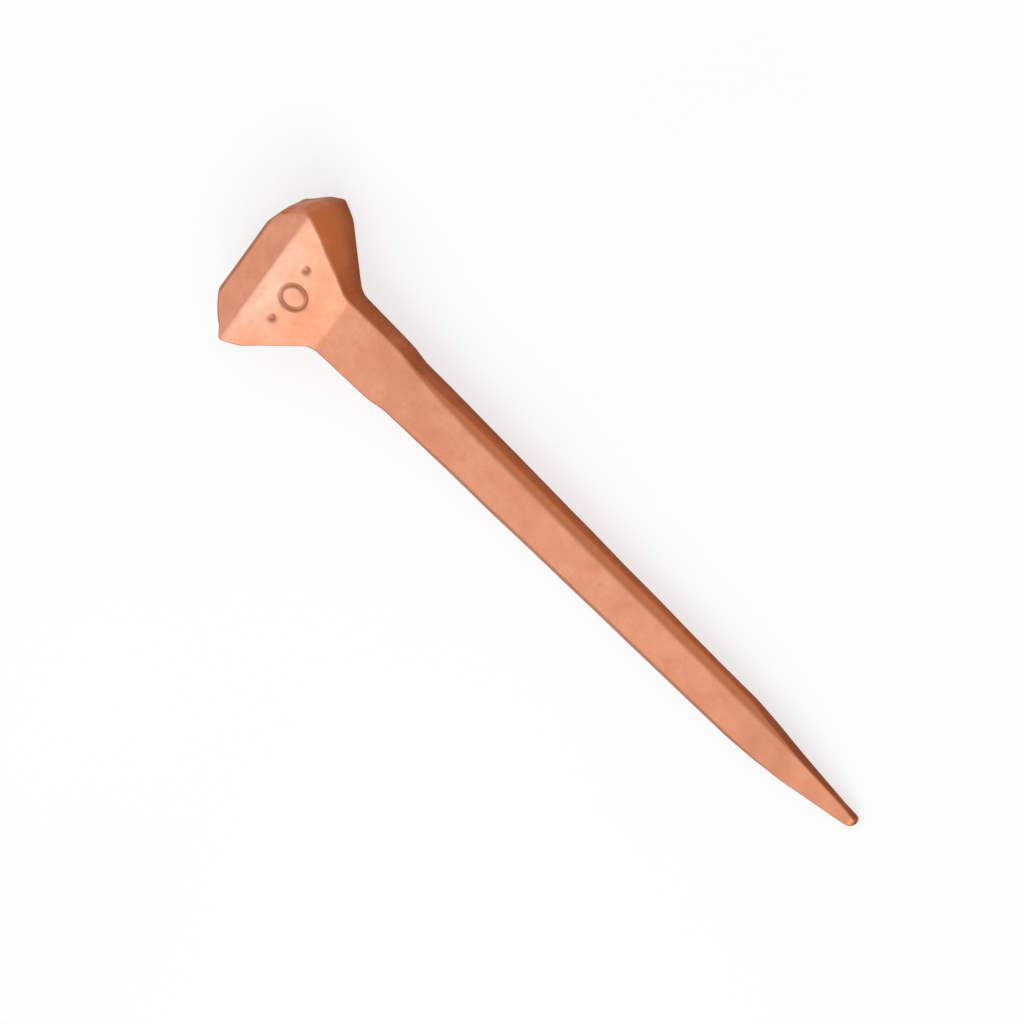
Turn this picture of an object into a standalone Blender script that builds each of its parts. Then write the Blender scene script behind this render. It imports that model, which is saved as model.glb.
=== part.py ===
"""A copper-coated horseshoe nail, lying on its back.

+X is the driving direction, from the head towards the point, and +Z is the nail's front, which has
the bevel of the point. The nail is symmetric about the plane Y = 0. The origin is halfway along it,
on the surface that it lies on, which the back of the head and the back of the tip touch.

The forging is a row of cross-sections, each a rectangle with its corners cut off, joined by straight
faces. The steel core and both sides of its copper plating are made from the same row.
"""

from collections import namedtuple

import bmesh
import bpy

MM = 0.001

# at: distance from the tip. width: across the nail. front and back: heights of those two faces above
# the back of the shank. corner: size of the cut at the two front corners. All in millimetres.
Section = namedtuple("Section", "at width front back corner")

CROWN_TOP = Section(at=51.0, width=7.1, front=2.35, back=-0.7, corner=0.3)
LAND_TOP = Section(at=49.65, width=10.0, front=3.0, back=-0.85, corner=0.35)
GIRDLE = Section(at=49.0, width=10.4, front=3.35, back=-0.8, corner=0.1)
FLARE_END = Section(at=47.8, width=9.4, front=3.0, back=-0.64, corner=0.1)
FLARE_START = Section(at=45.3, width=4.95, front=2.25, back=-0.28, corner=0.1)
NECK_FILLET = Section(at=44.7, width=4.2, front=2.05, back=-0.18, corner=0.1)
NECK = Section(at=44.15, width=4.0, front=1.88, back=-0.1, corner=0.1)
SHOULDER_TOP = Section(at=41.2, width=3.92, front=1.71, back=-0.1, corner=0.1)
SHOULDER_MIDDLE = Section(at=39.7, width=3.82, front=1.66, back=-0.1, corner=0.1)
SHOULDER_END = Section(at=38.6, width=3.48, front=1.63, back=-0.1, corner=0.12)
CORNER_GROWS = Section(at=36.4, width=3.48, front=1.65, back=-0.08, corner=0.26)
SHANK_TOP = Section(at=33.5, width=3.52, front=1.61, back=0.0, corner=0.42)
SHANK_MIDDLE = Section(at=22.0, width=3.27, front=1.32, back=0.0, corner=0.47)
BEND_START = Section(at=13.0, width=3.03, front=1.02, back=-0.02, corner=0.44)
POINT_START = Section(at=9.3, width=2.88, front=0.91, back=-0.18, corner=0.4)
POINT_MIDDLE = Section(at=7.6, width=2.52, front=0.8, back=-0.24, corner=0.25)
BEVEL_START = Section(at=5.2, width=1.88, front=0.6, back=-0.34, corner=0.07)
TIP_ROUNDING = Section(at=1.2, width=0.88, front=0.03, back=-0.62, corner=0.07)
TIP_CORNER = Section(at=0.3, width=0.56, front=-0.08, back=-0.82, corner=0.07)
TIP = Section(at=0.0, width=0.36, front=-0.2, back=-0.85, corner=0.07)

FORGING = [
    CROWN_TOP,
    LAND_TOP,
    GIRDLE,
    FLARE_END,
    FLARE_START,
    NECK_FILLET,
    NECK,
    SHOULDER_TOP,
    SHOULDER_MIDDLE,
    SHOULDER_END,
    CORNER_GROWS,
    SHANK_TOP,
    SHANK_MIDDLE,
    BEND_START,
    POINT_START,
    POINT_MIDDLE,
    BEVEL_START,
    TIP_ROUNDING,
    TIP_CORNER,
    TIP,
]

BACK_CORNER = 0.1
PLATING_THICKNESS = 0.05
CORE_CLEARANCE = 0.02
SMALLEST_CORNER = 0.02
CORNER_SHRINK = 0.586  # a corner cut moves in evenly when it shrinks by this share of the inset

# The plating is open at the blunt tip, where the steel end can be seen.
TIP_HOLE = Section(at=0.0, width=0.14, front=-0.42, back=-0.63, corner=0.03)


def clear_scene():
    """Removes every object, so that the script can run again in an open file."""
    for old in list(bpy.data.objects):
        bpy.data.objects.remove(old, do_unlink=True)


def inset(section, depth, end_shift=0.0):
    """The same cross-section with every face moved in by depth, and moved along the nail by end_shift."""
    return Section(
        at=section.at + end_shift,
        width=section.width - 2 * depth,
        front=section.front - depth,
        back=section.back + depth,
        corner=max(SMALLEST_CORNER, section.corner - CORNER_SHRINK * depth),
    )


def inset_forging(depth):
    """The whole row of cross-sections moved in by depth, with its two ends moved in as well."""
    head_end = inset(FORGING[0], depth, end_shift=-depth)
    tip_end = inset(FORGING[-1], depth, end_shift=depth)
    return [head_end] + [inset(section, depth) for section in FORGING[1:-1]] + [tip_end]


def ring(section):
    """The eight corners of a cross-section in metres, anticlockwise as seen from the point."""
    x = (CROWN_TOP.at / 2 - section.at) * MM
    half = section.width / 2
    front = section.front
    back = section.back
    cut = section.corner
    back_cut = min(BACK_CORNER, section.corner)
    outline = [
        (half - cut, front),
        (half, front - cut),
        (half, back + back_cut),
        (half - back_cut, back),
        (-half + back_cut, back),
        (-half, back + back_cut),
        (-half, front - cut),
        (-half + cut, front),
    ]
    lift = -LAND_TOP.back
    return [(x, y * MM, (z + lift) * MM) for y, z in outline]


def solid_from_sections(name, sections, material):
    """A closed solid: neighbouring cross-sections are joined by faces, and the two ends are capped."""
    build = bmesh.new()
    rings = [[build.verts.new(point) for point in ring(section)] for section in sections]
    for near, far in zip(rings, rings[1:]):
        for i in range(len(near)):
            j = (i + 1) % len(near)
            build.faces.new((near[i], near[j], far[j], far[i]))
    build.faces.new(reversed(rings[0]))
    build.faces.new(rings[-1])
    bmesh.ops.recalc_face_normals(build, faces=build.faces)
    mesh = bpy.data.meshes.new(name)
    build.to_mesh(mesh)
    build.free()
    mesh.materials.append(material)
    solid = bpy.data.objects.new(name, mesh)
    bpy.context.scene.collection.objects.link(solid)
    return solid


def metal(name, colour, roughness):
    """A plain metal with one colour."""
    material = bpy.data.materials.new(name)
    material.use_nodes = True
    shader = material.node_tree.nodes["Principled BSDF"]
    shader.inputs["Base Color"].default_value = (*colour, 1.0)
    shader.inputs["Metallic"].default_value = 1.0
    shader.inputs["Roughness"].default_value = roughness
    return material


def make_steel_core():
    """The forged nail under its plating, with a small clearance all round."""
    sections = inset_forging(PLATING_THICKNESS + CORE_CLEARANCE)
    return solid_from_sections("steel_core", sections, metal("forged steel", (0.42, 0.42, 0.43), 0.45))


def make_copper_plating():
    """A thin shell: down its outside, in through the hole in the tip, and back up its inside."""
    hole_inside = TIP_HOLE._replace(at=PLATING_THICKNESS)
    inside = list(reversed(inset_forging(PLATING_THICKNESS)))
    sections = FORGING + [TIP_HOLE, hole_inside] + inside
    return solid_from_sections("copper_plating", sections, metal("copper", (0.86, 0.46, 0.33), 0.38))


clear_scene()
make_steel_core()
make_copper_plating()
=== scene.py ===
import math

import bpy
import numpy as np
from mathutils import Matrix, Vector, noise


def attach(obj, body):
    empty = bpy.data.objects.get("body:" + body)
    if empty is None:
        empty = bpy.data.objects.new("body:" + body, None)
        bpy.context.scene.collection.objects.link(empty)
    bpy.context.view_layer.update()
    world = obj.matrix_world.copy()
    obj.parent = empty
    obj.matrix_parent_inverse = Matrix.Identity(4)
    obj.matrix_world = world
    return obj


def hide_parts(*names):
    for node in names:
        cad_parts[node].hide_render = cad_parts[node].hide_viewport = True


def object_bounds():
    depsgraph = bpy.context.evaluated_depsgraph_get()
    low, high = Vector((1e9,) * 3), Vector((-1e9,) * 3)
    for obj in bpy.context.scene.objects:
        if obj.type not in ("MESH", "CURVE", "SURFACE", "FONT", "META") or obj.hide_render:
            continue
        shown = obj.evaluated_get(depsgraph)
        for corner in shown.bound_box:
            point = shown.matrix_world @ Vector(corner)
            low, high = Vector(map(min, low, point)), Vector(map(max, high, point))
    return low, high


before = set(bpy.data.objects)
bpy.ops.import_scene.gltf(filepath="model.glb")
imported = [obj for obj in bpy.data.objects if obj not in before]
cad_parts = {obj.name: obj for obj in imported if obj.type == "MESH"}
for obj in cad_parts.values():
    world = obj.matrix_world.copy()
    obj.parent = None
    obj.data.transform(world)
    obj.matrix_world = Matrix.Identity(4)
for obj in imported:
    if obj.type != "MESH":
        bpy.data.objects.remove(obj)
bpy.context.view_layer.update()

# The looks of a copper-coated horseshoe nail.
#
# The CAD plating holds the nail as a row of cross-sections joined by flat faces. This script reads
# those cross-sections from the imported plating, rounds them into a finely divided forged surface, adds
# the small waves, dents and punched mark of a real forging, and makes two pieces from it: the copper
# skin, which is a thin shell, and the steel core inside it. Lengths are in millimetres up to the point
# where a mesh is made. +X is the direction of the point, and +Z is the nail's front.

MM = 0.001

# ---- Sizes in millimetres ----

PLATING = 0.05
CORE_DEPTH = 0.07

# The back corners of a cross-section are cut by this much, and every corner is then rounded. Where a
# corner is softer, the rounding reaches further along its two sides, but never over more than a share
# of the shorter one.
BACK_CORNER = 0.1
CROWN_BACK_CORNER = 0.4
CROWN_BACK_SOFTER = 0.1
EDGE_ROUNDING = 0.17
MOST_ROUNDING_SHARE = 0.45
FACET_ROUNDING = 0.5
CROWN_ROUNDING = 0.18
TIP_ROUNDING = 0.2

# CAD points closer than this are at the same place along or across the nail.
SAME_PLACE = 0.01

# A 45 degree corner cut gets smaller by this share of the inset, and is at least this size. A back
# corner's cut is at most this share of the cross-section's height.
CUT_LOSS = 0.586
LEAST_CUT = 0.02
BACK_CUT_SHARE = 0.3

# Rounding takes a little off every edge. The surface is this much fuller than the CAD's at the sides
# of the flare, crown and shank, and at the crown's top, which brings its outline back.
FULLER_FLARE = 0.17
FULLER_CROWN = 0.13
FULLER_SHANK = 0.08
FULLER_TOP = 0.24

# The foot of the flare is a little fuller still.
FOOT_FROM_TIP = 45.5
FOOT_HALF = 1.6
FOOT_FULLER = 0.075

# A crease between two stretches of the nail is as soft as this share of the shorter stretch.
CREASE_SHARE = 0.2

# Width and height of the facet that is cut off each front corner of the crown, at the land and at the
# top. The +Y corner is cut more than the -Y corner.
FACET_RIGHT = (0.46, 1.05)
FACET_RIGHT_TOP = (0.3, 0.7)
FACET_LEFT = (0.12, 0.25)
FACET_LEFT_TOP = (0.1, 0.15)

# The +Y side of the flare leans in towards the front: how far, and over what height. The -Y side
# has only its small corner cut.
LEAN_RIGHT = (0.42, 1.5)
LEAN_LEFT = (0.0, 0.0)

# The crown's top drops towards the front of its +Y end: how far, and where the drop starts and ends
# across and up the crown.
END_DROP = 0.33
DROP_FROM, DROP_TO = 2.0, 3.6
DROP_LOW, DROP_HIGH = -3.0, 3.2

# The -Y end of the crown bulges between the land and the top.
END_BULGE = 0.17

# The front is a little hollow just before the bevel of the point.
HOLLOW_FROM_TIP = 6.1
HOLLOW_HALF = 1.1
HOLLOW_DEPTH = 0.03

# The mark on the front of the head is generic: a ring groove with a dimple on each side. The groove is
# at its full depth up to RING_FLOOR_HALF from its middle line, and ends RING_HALF from it.
MARK_FROM_TOP = 4.05
RING_RADIUS = 0.78
RING_HALF = 0.2
RING_FLOOR_HALF = 0.03
RING_DEPTH = 0.11
DIMPLE_SPACING = 2.0
DIMPLE_FROM_TOP = 3.75
DIMPLE_RADIUS = 0.42
DIMPLE_DEPTH = 0.13

# The oval hole in the tip's face, across and up, where the skin's outside meets its inside.
TIP_HOLE_HALF = (0.07, 0.105)
TIP_HOLE_MIDDLE = 0.325

# Unevenness of the forging: height and size of the long waves and of the small dents. It fades out
# between these two distances from the tip.
WAVE_HEIGHT, WAVE_SIZE = 0.022, 3.6
DENT_HEIGHT, DENT_SIZE = 0.007, 0.9
EVEN_UP_TO, UNEVEN_FROM = 0.2, 1.5

# ---- How finely the surface is divided ----

FINEST_STEP = 0.05
HEAD_STEP = 0.07
SHANK_STEP = 0.24
HEAD_LENGTH = 7.5

# At a crease a step is this share of the crease's softness, and it grows with the distance from it.
STEP_AT_CREASE = 0.5
STEP_GROWTH = 0.3

CORNER_POINTS = 5
END_RINGS = 5
CAP_RINGS = 9
INNER_EVERY = 3

# Points inside each straight side of a cross-section: the front cut, the side, the back cut and the
# back on the +Y half, then the same on the -Y half, and last the front.
SIDE_POINTS = (4, 10, 1, 20, 1, 10, 3, 120)

# ---- Where the copper gets painted shade, painted light or a painted sheen, or is darker, in millimetres ----

# Painted shade is strongest on the point: it rises between these two distances from the tip.
SHADE_FROM, SHADE_TO = 12.0, 5.5

# A patch of painted light and a patch of painted shade at the shoulder: distance from the tip, half
# length and strength.
PAINTED_LIGHT_PATCH = (40.6, 0.9, 0.25)
PAINTED_SHADE_PATCH = (38.6, 1.4, 0.3)

# The painted sheen on the front of the head ends at the girdle, within this distance on either side of
# it.
SHEEN_FADE = 0.05

# The rim of painted shade on the crown starts this far below the CAD's top and is full this far above
# it.
SHADED_RIM_FROM, SHADED_RIM_TO = 0.16, 0.04

# The tip's end is darker over this length.
DARK_TIP = 0.4


# ---- The forging's cross-sections, read from the CAD plating ----


def read_sections(node):
    """Each cross-section of the plating's outside: x, half width, front, back and corner cut."""
    places = np.array([vertex.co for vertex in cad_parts[node].data.vertices]) / MM
    ends = places[:, 0].min(), places[:, 0].max()
    rows = []
    for x in np.unique(places[:, 0].round(2)):
        from_end = min(x - ends[0], ends[1] - x)
        if SAME_PLACE < from_end < 2 * PLATING:
            continue  # this is an end of the plating's inside
        here = places[np.abs(places[:, 0] - x) < SAME_PLACE]
        half = here[:, 1].max()
        front = here[:, 2].max()
        side_top = here[here[:, 1] > half - SAME_PLACE][:, 2].max()
        rows.append((x, half, front, here[:, 2].min(), front - side_top))
    return np.array(rows)


SECTIONS = read_sections("copper_plating")
TOP_X = SECTIONS[0, 0]
TIP_X = SECTIONS[-1, 0]
LAND_X = SECTIONS[1, 0]
GIRDLE_X = SECTIONS[2, 0]
FLARE_END_X = SECTIONS[3, 0]
FLARE_START_X = SECTIONS[4, 0]
NECK_X = SECTIONS[6, 0]


def crease_softness():
    """How softly the nail turns at each cross-section."""
    gaps = np.diff(SECTIONS[:, 0])
    shorter = np.minimum(gaps[:-1], gaps[1:])
    return CREASE_SHARE * shorter


def rounded_line(x, values):
    """Follows straight lines through the values at the cross-sections, but cuts their bends."""
    knots = SECTIONS[:, 0]
    slopes = np.diff(values) / np.diff(knots)
    result = values[0] + slopes[0] * (x - knots[0])
    for knot, turn, soft in zip(knots[1:-1], np.diff(slopes), crease_softness()):
        past = x - knot
        result = result + turn * 0.5 * (past + np.sqrt(past**2 + soft**2))
    return result


def soft_line(x, values):
    """The same line, moved so that it still passes through the values at the cross-sections."""
    aims = values
    for _ in range(3):
        aims = aims + values - rounded_line(SECTIONS[:, 0], aims)
    return rounded_line(x, aims)


def between(x, low, high):
    """0 up to low, 1 from high, and a smooth change between them."""
    share = np.clip((x - low) / (high - low), 0.0, 1.0)
    return share * share * (3.0 - 2.0 * share)


def crown_share(x):
    """0 up to the girdle, 1 from the land to the crown's top."""
    return between(-x, -GIRDLE_X, -LAND_X)


def patch(x, from_tip, half):
    """1 at the distance from_tip from the tip, falling to 0 at the distance half on either side."""
    return 1.0 - between(np.abs(TIP_X - x - from_tip), 0.0, half)


def facet_size(x, cut, at_flare, at_land, at_top):
    """Size of a front corner's cut: at_flare at the flare's end, at_land and at_top on the crown."""
    lean = between(-x, -FLARE_START_X, -FLARE_END_X)
    lean = lean * (1.0 - 0.5 * between(-x, -FLARE_END_X, -GIRDLE_X))
    flare = cut + np.maximum(at_flare - cut, 0.0) * lean
    fades = np.clip((LAND_X - x) / (LAND_X - TOP_X), 0.0, 1.0)
    crown = at_land + (at_top - at_land) * fades
    return flare + (np.maximum(crown, cut) - flare) * crown_share(x)


def corners_at(x, inset):
    """The eight corners (y, z) of each cross-section at x, moved in by inset."""
    crown_height = LAND_X - TOP_X
    stretched = LAND_X - (LAND_X - x) * crown_height / (crown_height + FULLER_TOP)
    x = np.where(x < LAND_X, stretched, x)
    on_crown = crown_share(x)
    half, front, back, cut = (soft_line(x, SECTIONS[:, column]) for column in range(1, 5))
    fuller = FULLER_SHANK + (FULLER_FLARE - FULLER_SHANK) * between(-x, -NECK_X, -FLARE_START_X)
    fuller = fuller + (FULLER_CROWN - FULLER_FLARE) * on_crown
    fuller = fuller + FOOT_FULLER * patch(x, FOOT_FROM_TIP, FOOT_HALF)
    half = half + fuller - inset
    front = front - HOLLOW_DEPTH * patch(x, HOLLOW_FROM_TIP, HOLLOW_HALF) - inset
    back = back + inset
    cut = np.maximum(cut - CUT_LOSS * inset, LEAST_CUT)
    back_cut = BACK_CORNER + (CROWN_BACK_CORNER - BACK_CORNER) * on_crown
    back_cut = np.minimum(back_cut, BACK_CUT_SHARE * (front - back))
    right_wide, right_tall = (
        facet_size(x, cut, *sizes) for sizes in zip(LEAN_RIGHT, FACET_RIGHT, FACET_RIGHT_TOP)
    )
    left_wide, left_tall = (
        facet_size(x, cut, *sizes) for sizes in zip(LEAN_LEFT, FACET_LEFT, FACET_LEFT_TOP)
    )
    up_crown = np.clip((LAND_X - x) / crown_height, 0.0, 1.0)
    left = half + END_BULGE * np.sin(math.pi * up_crown)
    outline = [
        (half - right_wide, front),
        (half, front - right_tall),
        (half, back + back_cut),
        (half - back_cut, back),
        (-left + back_cut, back),
        (-left, back + back_cut),
        (-left, front - left_tall),
        (-left + left_wide, front),
    ]
    return np.stack([np.stack(corner, axis=-1) for corner in outline], axis=1)


def outlines_at(x, inset):
    """Points round each cross-section at x, their outward directions, and how rounded each one is.

    Every corner is a small curve that leaves one side and meets the next, so that a point keeps its
    place on the outline all along the nail.
    """
    corners = corners_at(x, inset)
    onward = np.roll(corners, -1, axis=1) - corners
    length = np.linalg.norm(onward, axis=2)
    before = np.roll(length, 1, axis=1)
    softer = (FACET_ROUNDING - EDGE_ROUNDING) * between(-x, -FLARE_START_X, -GIRDLE_X)
    wanted = np.full(length.shape, EDGE_ROUNDING)
    wanted[:, 0] += softer * crown_share(x)
    wanted[:, 1] += softer
    wanted[:, 2] += CROWN_BACK_SOFTER * crown_share(x)
    wanted[:, 3] += CROWN_BACK_SOFTER * crown_share(x)
    most = MOST_ROUNDING_SHARE * np.minimum(length, before)
    reach = np.minimum(wanted, most)[..., None]
    along = onward / length[..., None]
    came = np.roll(along, 1, axis=1)
    leave = corners - came * reach
    meet = corners + along * reach
    points, directions, rounded = [], [], []

    def add(place, direction, on_edge):
        unit = direction / np.linalg.norm(direction, axis=1)[:, None]
        points.append(place)
        directions.append(np.stack([-unit[:, 1], unit[:, 0]], axis=1))
        rounded.append(np.broadcast_to(on_edge, len(x)))

    for corner, inside in enumerate(SIDE_POINTS):
        for t in np.linspace(0.0, 1.0, CORNER_POINTS):
            place = (
                (1 - t) ** 2 * leave[:, corner]
                + 2 * t * (1 - t) * corners[:, corner]
                + t**2 * meet[:, corner]
            )
            direction = (1 - t) * came[:, corner] + t * along[:, corner]
            sharp = 1.0 - between(-x, -NECK_X, -FLARE_END_X) if corner == 1 else 1.0
            add(place, direction, sharp * math.sin(math.pi * t))
        end = leave[:, (corner + 1) % len(SIDE_POINTS)]
        for step in range(1, inside + 1):
            share = step / (inside + 1)
            add(meet[:, corner] * (1 - share) + end * share, along[:, corner], 0.0)
    return np.stack(points, axis=1), np.stack(directions, axis=1), np.stack(rounded, axis=1)


# ---- Where the cross-sections are taken ----


def stations(inset):
    """Places along the nail, closer together at creases and on the head."""
    creases = SECTIONS[1:-1, 0]
    softness = crease_softness()
    places = [TOP_X - FULLER_TOP + CROWN_ROUNDING + inset]
    last = TIP_X - TIP_ROUNDING
    while True:
        x = places[-1]
        coarse = HEAD_STEP if x < TOP_X + HEAD_LENGTH else SHANK_STEP
        near = np.min(STEP_AT_CREASE * softness + STEP_GROWTH * np.abs(x - creases))
        x += max(FINEST_STEP, min(coarse, near))
        if x > last - FINEST_STEP:
            break
        places.append(x)
    return np.array([*places, last])


# ---- The unevenness of the forging and its mark ----


def bumps(point):
    """Height of the forging's waves and dents at a point."""
    place = Vector(point)
    waves = noise.noise(place / WAVE_SIZE)
    dents = noise.noise(place / DENT_SIZE)
    return WAVE_HEIGHT * waves + DENT_HEIGHT * dents


def mark(points, facing_front):
    """Depth of the punched mark at each point."""
    along = points[..., 0] - TOP_X
    across = points[..., 1]
    from_ring = np.abs(np.hypot(along - MARK_FROM_TOP, across) - RING_RADIUS)
    depth = RING_DEPTH * (1.0 - between(from_ring, RING_FLOOR_HALF, RING_HALF))
    for side in (-1, 1):
        away = np.hypot(along - DIMPLE_FROM_TOP, across - side * DIMPLE_SPACING)
        depth = np.maximum(depth, DIMPLE_DEPTH * (1.0 - between(away, 0.0, DIMPLE_RADIUS)))
    return np.where(facing_front > 0.7, depth, 0.0)


# ---- One wall of the nail, as rings of points ----


def smooth_wall(inset):
    """Rings of points from the middle of the crown's top to the tip's face.

    With them come each point's outward direction and how much the point is on a rounded edge.
    """
    x = stations(inset)
    turn = np.linspace(0.5 * math.pi, 0.0, END_RINGS + 1)[:-1]
    tip_radius = TIP_ROUNDING - inset
    crown_x = TOP_X - FULLER_TOP + inset + CROWN_ROUNDING * (1.0 - np.sin(turn))
    tip_x = TIP_X - inset - tip_radius * (1.0 - np.sin(turn[::-1]))
    tilt = np.concatenate([-turn, np.zeros(len(x)), turn[::-1]])
    radius = np.where(tilt < 0.0, CROWN_ROUNDING, tip_radius)
    x = np.concatenate([crown_x, x, tip_x])

    outline, outward, rounded = outlines_at(x, inset)
    yz = outline - outward * (radius * (1.0 - np.cos(tilt)))[:, None, None]
    shape = yz.shape[:2]
    points = np.concatenate([np.broadcast_to(x[:, None, None], (*shape, 1)), yz], axis=2)
    facing = np.concatenate(
        [
            np.broadcast_to(np.sin(tilt)[:, None, None], (*shape, 1)),
            outward * np.cos(tilt)[:, None, None],
        ],
        axis=2,
    )
    rounded = np.maximum(rounded, np.abs(np.sin(2 * tilt))[:, None])

    # The crown's top: smaller and smaller copies of its rim.
    middle = points[0].mean(axis=0)
    shrink = np.linspace(0.0, 1.0, CAP_RINGS + 1)[1:-1]
    cap = middle + (points[0] - middle) * shrink[:, None, None]
    cap_facing = np.broadcast_to([-1.0, 0.0, 0.0], cap.shape)
    points = np.concatenate([cap, points])
    facing = np.concatenate([cap_facing, facing])
    rounded = np.concatenate([np.zeros(cap.shape[:2]), rounded])
    return points, facing, rounded


def forged(points, facing):
    """The points with the forging's unevenness, the mark and the crown's drop, and the mark's depth."""
    depth = mark(points, facing[..., 2])
    heights = np.array([bumps(point) for point in points.reshape(-1, 3)]).reshape(depth.shape)
    uneven = between(points[..., 0], TIP_X - EVEN_UP_TO, TIP_X - UNEVEN_FROM)
    points = points + facing * (heights * uneven - depth)[..., None]
    drop = END_DROP * between(points[..., 1], DROP_FROM, DROP_TO)
    drop = drop * between(points[..., 2], DROP_LOW, DROP_HIGH)
    points[..., 0] += drop * between(-points[..., 0], -LAND_X, -TOP_X)
    return points, depth


def paint_marks(points, facing, rounded, depth):
    """Numbers at each point that the copper reads.

    One value is how much the point is on a rounded edge, except on the -Y side and round the crown's
    top; there the copper is brightened for wear and a painted highlight. One is how much it is on an
    edge painted with shade, or at the darker tip end. One is how deep it is in the punched mark. One is
    how upright its outward direction is, which the copper uses to paint shade on the side faces. One is
    how low it is on the nail, towards the floor, where more shade is painted. One is painted shade
    along the nail, little on the head and most on the point, with painted light and shade at the
    shoulder. The last is a painted sheen, most on the front of the head under the middle of the crown.
    """
    place, across = points[..., 0], points[..., 1]
    on_front = between(facing[..., 2], 0.5, 0.9)
    on_left = between(-across, 0.0, 0.3)
    on_top = between(-place, -LAND_X, -TOP_X)

    # Painted sheen: paler copper on the head's front, most under the middle of the crown, stands in for
    # a highlight.
    half_head = SECTIONS[:, 1].max()
    painted_sheen = between(-place, -FLARE_START_X, -GIRDLE_X)
    painted_sheen = painted_sheen * between(place, GIRDLE_X - SHEEN_FADE, GIRDLE_X + SHEEN_FADE)
    painted_sheen = painted_sheen * on_front * (1.0 - 0.6 * (across / half_head) ** 2)

    # Painted shade on dark edges: the rounded ones of the crown's -Y end and top, the rim below the
    # top, and the -Y side of the shank. The tip's end is made darker too.
    rim = np.maximum.reduce(
        [
            rounded * np.maximum(on_left * crown_share(place), on_top),
            between(-place, -TOP_X - SHADED_RIM_FROM, -TOP_X + SHADED_RIM_TO) * between(facing[..., 0], -1.0, -0.7),
            0.7 * between(-facing[..., 1], 0.2, 0.6) * between(place, FLARE_START_X, NECK_X),
            0.5 * between(place, TIP_X - DARK_TIP, TIP_X),
        ]
    )

    # The rings of the cap are as low as the ring round them.
    level = points[np.maximum(np.arange(len(points)), CAP_RINGS), :, 2]
    top = level.max(axis=1)[:, None]
    low = level.min(axis=1)[:, None]

    # Painted shade along the nail: some from the neck down, most on the point, less at the light patch
    # and more at the dark one.
    point_shade = 0.4 * between(place, FLARE_END_X, NECK_X)
    point_shade = point_shade + 0.6 * between(place, TIP_X - SHADE_FROM, TIP_X - SHADE_TO)
    point_shade = point_shade - PAINTED_LIGHT_PATCH[2] * patch(place, *PAINTED_LIGHT_PATCH[:2])
    point_shade = point_shade + PAINTED_SHADE_PATCH[2] * patch(place, *PAINTED_SHADE_PATCH[:2])
    return {
        "edge": rounded * (1.0 - np.maximum(on_left, on_top)),
        "rim": rim,
        "recess": depth / RING_DEPTH,
        "upright": np.abs(facing[..., 2]),
        "low": (top - points[..., 2]) / np.maximum(top - low, 0.1),
        "point_shade": point_shade,
        "painted_sheen": painted_sheen,
    }


def wall(inset):
    """Rings of points for the nail's surface moved in by inset, and their paint marks."""
    points, facing, rounded = smooth_wall(inset)
    points, depth = forged(points, facing)
    return points, paint_marks(points, facing, rounded, depth)


def hole_ring(x, count):
    """The oval rim of the hole in the tip, with as many points as the other rings."""
    outline, _, _ = outlines_at(np.array([TIP_X]), 0.0)
    away = outline[0] - np.array([0.0, TIP_HOLE_MIDDLE])
    angle = np.arctan2(away[:, 1], away[:, 0])
    y = TIP_HOLE_HALF[0] * np.cos(angle)
    z = TIP_HOLE_MIDDLE + TIP_HOLE_HALF[1] * np.sin(angle)
    return np.stack([np.full(count, x), y, z], axis=1)


# ---- Meshes ----


def mesh_from_rings(name, rings, marks):
    """A closed mesh: neighbouring rings are joined by faces, and both ends meet in a point.

    marks holds a value for each point of the rings, by attribute name.
    """
    rings_count, count = rings.shape[:2]
    points = [tuple(point) for point in rings.reshape(-1, 3) * MM]
    faces = []
    for ring in range(rings_count - 1):
        start = ring * count
        for i in range(count):
            j = (i + 1) % count
            faces.append((start + i, start + count + i, start + count + j, start + j))
    for ring, flip in ((0, False), (rings_count - 1, True)):
        points.append(tuple(rings[ring].mean(axis=0) * MM))
        for i in range(count):
            pair = (ring * count + i, ring * count + (i + 1) % count)
            faces.append((*(pair[::-1] if flip else pair), len(points) - 1))
    mesh = bpy.data.meshes.new(name)
    mesh.from_pydata(points, [], faces)
    for attribute, values in marks.items():
        layer = mesh.attributes.new(attribute, "FLOAT", "POINT")
        ends = values[0].mean(), values[-1].mean()
        layer.data.foreach_set("value", np.append(values.ravel(), ends))
    mesh.polygons.foreach_set("use_smooth", [True] * len(mesh.polygons))
    mesh.validate()
    piece = bpy.data.objects.new(name, mesh)
    bpy.context.scene.collection.objects.link(piece)
    return piece


def make_skin():
    """The copper plating: its outside, in through the hole in the tip, and back up its inside."""
    outside, outside_marks = wall(0.0)
    inside, inside_marks = wall(PLATING)
    keep = list(range(0, len(inside), INNER_EVERY))
    if keep[-1] != len(inside) - 1:
        keep.append(len(inside) - 1)
    back = keep[::-1]
    count = outside.shape[1]
    hole = np.stack([hole_ring(TIP_X, count), hole_ring(TIP_X - PLATING, count)])
    rings = np.concatenate([outside, hole, inside[back]])
    unmarked = np.zeros((len(hole), count))
    marks = {
        name: np.concatenate([outside_marks[name], unmarked, inside_marks[name][back]])
        for name in outside_marks
    }
    return mesh_from_rings("copper_skin", rings, marks)


def make_core():
    """The forged steel inside the plating."""
    return mesh_from_rings("forged_core", *wall(CORE_DEPTH))


# ---- Materials ----

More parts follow.
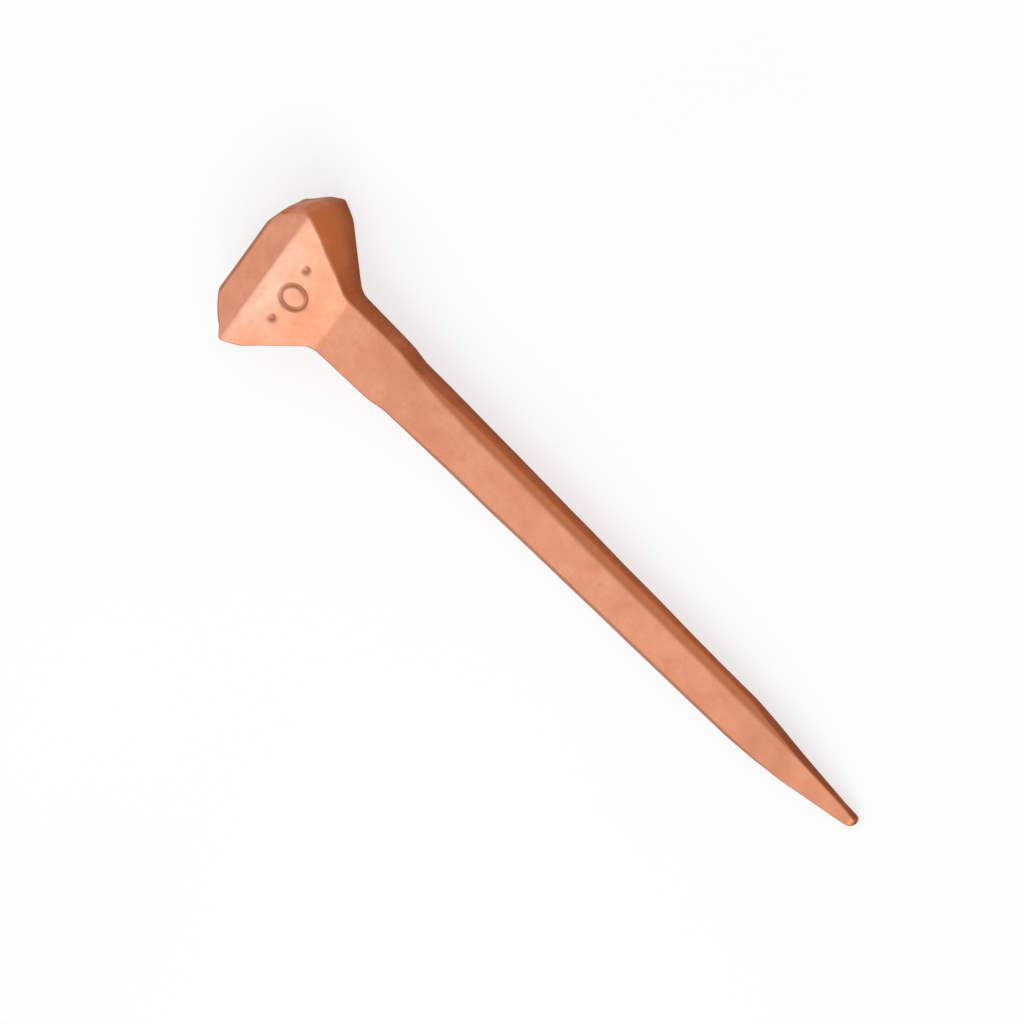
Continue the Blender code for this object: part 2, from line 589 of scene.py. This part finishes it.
# Colours. Where there are two, they run from dark to pale. The flat front's copper turns into the
# point's painted shade towards the tip and into a painted sheen on the head. The sides' copper is
# painted shade, darker than the front's. It turns into the shank side's and the point side's darker
# painted shade and, low down towards the floor, the darkest one.
FLAT_COPPER = ((0.670, 0.282, 0.168), (0.722, 0.326, 0.203))
POINT_SHADE_COPPER = (0.53, 0.225, 0.130)
SHEEN_COPPER = (0.745, 0.42, 0.295)
SHADED_SIDE_COPPER = ((0.483, 0.130, 0.034), (0.533, 0.150, 0.043))
SHADED_SHANK_SIDE_COPPER = (0.378, 0.080, 0.013)
SHADED_POINT_SIDE_COPPER = (0.248, 0.047, 0.007)
FLOOR_SHADE_COPPER = (0.216, 0.044, 0.007)
HALF_SHADED_CHAMFER_COPPER = (0.65, 0.215, 0.098)
STAIN_COPPER = (0.50, 0.165, 0.085)
SPECK_COPPER = (0.54, 0.19, 0.11)
WORN_HIGHLIGHT_COPPER = (0.74, 0.32, 0.20)
SHADED_RIM_COPPER = (0.36, 0.130, 0.065)
RECESS_COPPER = (0.30, 0.075, 0.03)

STEEL = ((0.27, 0.27, 0.28), (0.42, 0.42, 0.43))
STEEL_SCALE = (0.17, 0.16, 0.16)

BOARD = ((0.27, 0.27, 0.27), (0.29, 0.29, 0.29))
BOARD_GLOW = 0.68


class Paint:
    """A material's node tree, with short calls for the nodes that the materials here need."""

    def __init__(self, name):
        self.material = bpy.data.materials.new(name)
        self.material.use_nodes = True
        self.tree = self.material.node_tree
        self.shader = self.tree.nodes["Principled BSDF"]
        self.place = self.tree.nodes.new("ShaderNodeTexCoord").outputs["Object"]

    def join(self, output, socket):
        self.tree.links.new(output, socket)

    def noise(self, size, detail=3.0, roughness=0.5, stretch=None):
        """Noise from 0 to 1 whose features are about size millimetres across."""
        node = self.tree.nodes.new("ShaderNodeTexNoise")
        node.inputs["Scale"].default_value = 1.0 / (size * MM)
        node.inputs["Detail"].default_value = detail
        node.inputs["Roughness"].default_value = roughness
        place = self.place
        if stretch:
            mapping = self.tree.nodes.new("ShaderNodeMapping")
            mapping.inputs["Scale"].default_value = stretch
            self.join(place, mapping.inputs["Vector"])
            place = mapping.outputs["Vector"]
        self.join(place, node.inputs["Vector"])
        return node.outputs["Fac"]

    def attribute(self, name):
        node = self.tree.nodes.new("ShaderNodeAttribute")
        node.attribute_name = name
        return node.outputs["Fac"]

    def span(self, value, low, high, to_low=0.0, to_high=1.0):
        """The value's stretch from low to high, spread over to_low to to_high."""
        node = self.tree.nodes.new("ShaderNodeMapRange")
        node.interpolation_type = "SMOOTHSTEP"
        self.join(value, node.inputs["Value"])
        for socket, number in zip(node.inputs[1:5], (low, high, to_low, to_high)):
            socket.default_value = number
        return node.outputs["Result"]

    def blend(self, share, first, second):
        """first where share is 0, second where it is 1; each is a colour or a node's output."""
        node = self.tree.nodes.new("ShaderNodeMix")
        node.data_type = "RGBA"
        self.join(share, node.inputs["Factor"])
        for socket, colour in ((node.inputs[6], first), (node.inputs[7], second)):
            if isinstance(colour, tuple):
                socket.default_value = (*colour, 1.0)
            else:
                self.join(colour, socket)
        return node.outputs[2]

    def bump(self, height, depth, under=None):
        """A bump that is depth millimetres high, over another bump if there is one."""
        node = self.tree.nodes.new("ShaderNodeBump")
        node.inputs["Distance"].default_value = depth * MM
        self.join(height, node.inputs["Height"])
        if under:
            self.join(under, node.inputs["Normal"])
        return node.outputs["Normal"]

    def set(self, **sockets):
        """Sets or joins the shader's sockets, whose names are written with _ for a space."""
        for name, value in sockets.items():
            socket = self.shader.inputs[name.replace("_", " ")]
            if isinstance(value, bpy.types.NodeSocket):
                self.join(value, socket)
            else:
                socket.default_value = value


def copper():
    """Satin copper plate: mottled, with darker stains and specks, a fine grain, and painted light and
    shade: darker side faces, shade towards the point, the floor and some edges, a sheen on the head,
    and edges brightened for wear and a painted highlight.
    """
    paint = Paint("satin copper plate")
    mottle = paint.span(paint.noise(2.4, 5.0, 0.62), 0.36, 0.66)
    # Painted shade along the nail, strongest on the point, darkens the front and the sides.
    point_shade_share = paint.attribute("point_shade")
    flat = paint.blend(mottle, *FLAT_COPPER)
    flat = paint.blend(paint.span(point_shade_share, 0.4, 1.0, 0.0, 0.6), flat, POINT_SHADE_COPPER)
    # Paler copper on the head's front is a painted sheen.
    flat = paint.blend(paint.attribute("painted_sheen"), flat, SHEEN_COPPER)
    # Painted shade on the sides: their copper is darker than the front's, and darker still down the
    # shank and on the point.
    shaded_sides = paint.blend(mottle, *SHADED_SIDE_COPPER)
    shaded_sides = paint.blend(paint.span(point_shade_share, 0.0, 0.4), shaded_sides, SHADED_SHANK_SIDE_COPPER)
    shaded_sides = paint.blend(paint.span(point_shade_share, 0.4, 1.0), shaded_sides, SHADED_POINT_SIDE_COPPER)
    # Painted shade low on the sides, towards the floor that the nail lies on.
    low = paint.span(paint.attribute("low"), 0.35, 1.0, 0.0, 0.8)
    shaded_sides = paint.blend(low, shaded_sides, FLOOR_SHADE_COPPER)
    # The sides' painted shade fades through the chamfers' half shade into the front's copper as the
    # surface turns to face the front.
    upright = paint.attribute("upright")
    colour = paint.blend(paint.span(upright, 0.35, 0.72), shaded_sides, HALF_SHADED_CHAMFER_COPPER)
    colour = paint.blend(paint.span(upright, 0.76, 0.98), colour, flat)
    stain = paint.span(paint.noise(1.3, 4.0, 0.6), 0.56, 0.74, 0.0, 0.30)
    colour = paint.blend(stain, colour, STAIN_COPPER)
    speck = paint.span(paint.noise(0.16, 2.0, 0.5), 0.30, 0.70, 0.0, 0.18)
    colour = paint.blend(speck, colour, SPECK_COPPER)
    # Brighter rounded edges, kept off the -Y side and the crown's top: edge wear with a painted
    # highlight.
    worn_highlight = paint.span(paint.attribute("edge"), 0.1, 1.0, 0.0, 0.1)
    colour = paint.blend(worn_highlight, colour, WORN_HIGHLIGHT_COPPER)
    # Painted shade on the crown's edges, below its top and on the shank's -Y side; the tip's end is
    # darker as well.
    rim = paint.span(paint.attribute("rim"), 0.1, 1.0, 0.0, 0.8)
    colour = paint.blend(rim, colour, SHADED_RIM_COPPER)
    recess = paint.span(paint.attribute("recess"), 0.0, 1.0, 0.0, 0.6)
    colour = paint.blend(recess, colour, RECESS_COPPER)
    satin = paint.span(paint.noise(1.7, 4.0, 0.6), 0.3, 0.7, 0.42, 0.55)
    grain = paint.bump(paint.noise(0.12, 3.0, 0.6), 0.004)
    grain = paint.bump(paint.noise(0.5, 3.0, 0.55), 0.008, grain)
    paint.set(Base_Color=colour, Metallic=1.0, Roughness=satin, Normal=grain)
    return paint.material


def steel():
    """Dull forged steel with drawing lines along the nail."""
    paint = Paint("forged steel")
    lines = paint.noise(0.3, 4.0, 0.6, stretch=(0.06, 1.0, 1.0))
    colour = paint.blend(paint.span(lines, 0.3, 0.7), *STEEL)
    scale = paint.span(paint.noise(1.1, 4.0, 0.6), 0.52, 0.7, 0.0, 0.6)
    colour = paint.blend(scale, colour, STEEL_SCALE)
    rough = paint.span(paint.noise(0.8), 0.3, 0.7, 0.38, 0.56)
    grain = paint.bump(lines, 0.006)
    paint.set(Base_Color=colour, Metallic=1.0, Roughness=rough, Normal=grain)
    return paint.material


def pale_floor():
    """Matt board with a glow of its own, which keeps the nail's shadow faint.

    It is see-through from below, so that the nail's back can be looked at.
    """
    paint = Paint("pale board")
    tone = paint.span(paint.noise(60.0, 2.0), 0.3, 0.7)
    paint.set(
        Base_Color=paint.blend(tone, *BOARD),
        Roughness=0.9,
        Specular_IOR_Level=0.2,
        Emission_Color=(1.0, 1.0, 1.0, 1.0),
        Emission_Strength=BOARD_GLOW,
    )
    nodes = paint.tree.nodes
    through = nodes.new("ShaderNodeBsdfTransparent")
    back = nodes.new("ShaderNodeNewGeometry").outputs["Backfacing"]
    choose = nodes.new("ShaderNodeMixShader")
    paint.join(back, choose.inputs[0])
    paint.join(paint.shader.outputs[0], choose.inputs[1])
    paint.join(through.outputs[0], choose.inputs[2])
    paint.join(choose.outputs[0], nodes["Material Output"].inputs["Surface"])
    return paint.material


# ---- The studio ----

# Half the width of the floor, in metres.
FLOOR_HALF = 1.5

# The camera's direction in degrees, and the turn of the picture about it.
VIEW_SIDEWAYS = 30.0
VIEW_FROM_TIP = 15.3
PICTURE_TURN = 44.9

# Width of the picture at the nail, height of the point that the camera is set up for, and how far that
# point then lies right of and below the picture's middle. Millimetres, like the lens and the sensor.
PICTURE_WIDTH = 61.3
TARGET_HEIGHT = 0.85
NAIL_RIGHT = 2.86
NAIL_DOWN = 1.25
LENS = 1000.0
SENSOR = 36.0

WORLD_BRIGHTNESS = 0.76

# Square lamps: how far from the nail and how wide they are, in metres, and each one's direction and
# brightness.
SOFTBOX_DISTANCE = 0.5
SOFTBOX_SIZE = 0.4
SOFTBOXES = {
    "key": ((0.6, -0.5, 0.6), 2.0),
    "top": ((0.0, -0.5, 0.86), 0.6),
    "head": ((-0.8, -0.5, 0.35), 0.45),
}


def make_floor(height):
    mesh = bpy.data.meshes.new("floor")
    corners = ((-1, -1), (1, -1), (1, 1), (-1, 1))
    points = [(FLOOR_HALF * x, FLOOR_HALF * y, height) for x, y in corners]
    mesh.from_pydata(points, [], [(0, 1, 2, 3)])
    mesh.materials.append(pale_floor())
    floor = bpy.data.objects.new("floor", mesh)
    bpy.context.scene.collection.objects.link(floor)


def make_camera(target):
    """A long lens, looking at the nail's front from its +Y side and a little from the tip."""
    sideways, from_tip, turn = (math.radians(a) for a in (VIEW_SIDEWAYS, VIEW_FROM_TIP, PICTURE_TURN))
    towards = Vector(
        (
            math.sin(from_tip),
            math.cos(from_tip) * math.sin(sideways),
            math.cos(from_tip) * math.cos(sideways),
        )
    )
    across = Vector((0.0, math.cos(sideways), -math.sin(sideways)))
    up = towards.cross(across)
    right = across * math.cos(turn) - up * math.sin(turn)
    top = across * math.sin(turn) + up * math.cos(turn)
    distance = PICTURE_WIDTH * MM * LENS / SENSOR
    place = target + towards * distance - right * NAIL_RIGHT * MM + top * NAIL_DOWN * MM
    data = bpy.data.cameras.new("camera")
    data.lens = LENS
    data.sensor_width = SENSOR
    camera = bpy.data.objects.new("camera", data)
    turned = Matrix((right, top, towards)).transposed().to_4x4()
    camera.matrix_world = Matrix.Translation(place) @ turned
    bpy.context.scene.collection.objects.link(camera)
    bpy.context.scene.camera = camera


def softbox(name, direction, brightness):
    """A square lamp that faces the nail. Brightness is what a camera would see on its face."""
    data = bpy.data.lights.new(name, "AREA")
    data.shape = "SQUARE"
    data.size = SOFTBOX_SIZE
    data.energy = brightness * math.pi * SOFTBOX_SIZE**2
    lamp = bpy.data.objects.new(name, data)
    towards = Vector(direction).normalized()
    lamp.location = towards * SOFTBOX_DISTANCE
    lamp.rotation_mode = "QUATERNION"
    lamp.rotation_quaternion = towards.to_track_quat("Z", "Y")
    bpy.context.scene.collection.objects.link(lamp)


def make_light():
    world = bpy.data.worlds.new("studio")
    world.use_nodes = True
    background = world.node_tree.nodes["Background"]
    background.inputs["Color"].default_value = (1.0, 1.0, 1.0, 1.0)
    background.inputs["Strength"].default_value = WORLD_BRIGHTNESS
    bpy.context.scene.world = world
    for name, (direction, brightness) in SOFTBOXES.items():
        softbox(name, direction, brightness)
    bpy.context.scene.view_settings.view_transform = "Standard"


# ---- Put together ----


def finish_piece(piece, material, node):
    piece.data.materials.append(material)
    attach(piece, "root")
    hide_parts(node)


finish_piece(make_skin(), copper(), "copper_plating")
finish_piece(make_core(), steel(), "steel_core")
bpy.context.view_layer.update()
visual_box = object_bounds()
make_floor(visual_box[0].z)
make_camera(Vector((0.0, 0.0, TARGET_HEIGHT * MM)))
make_light()
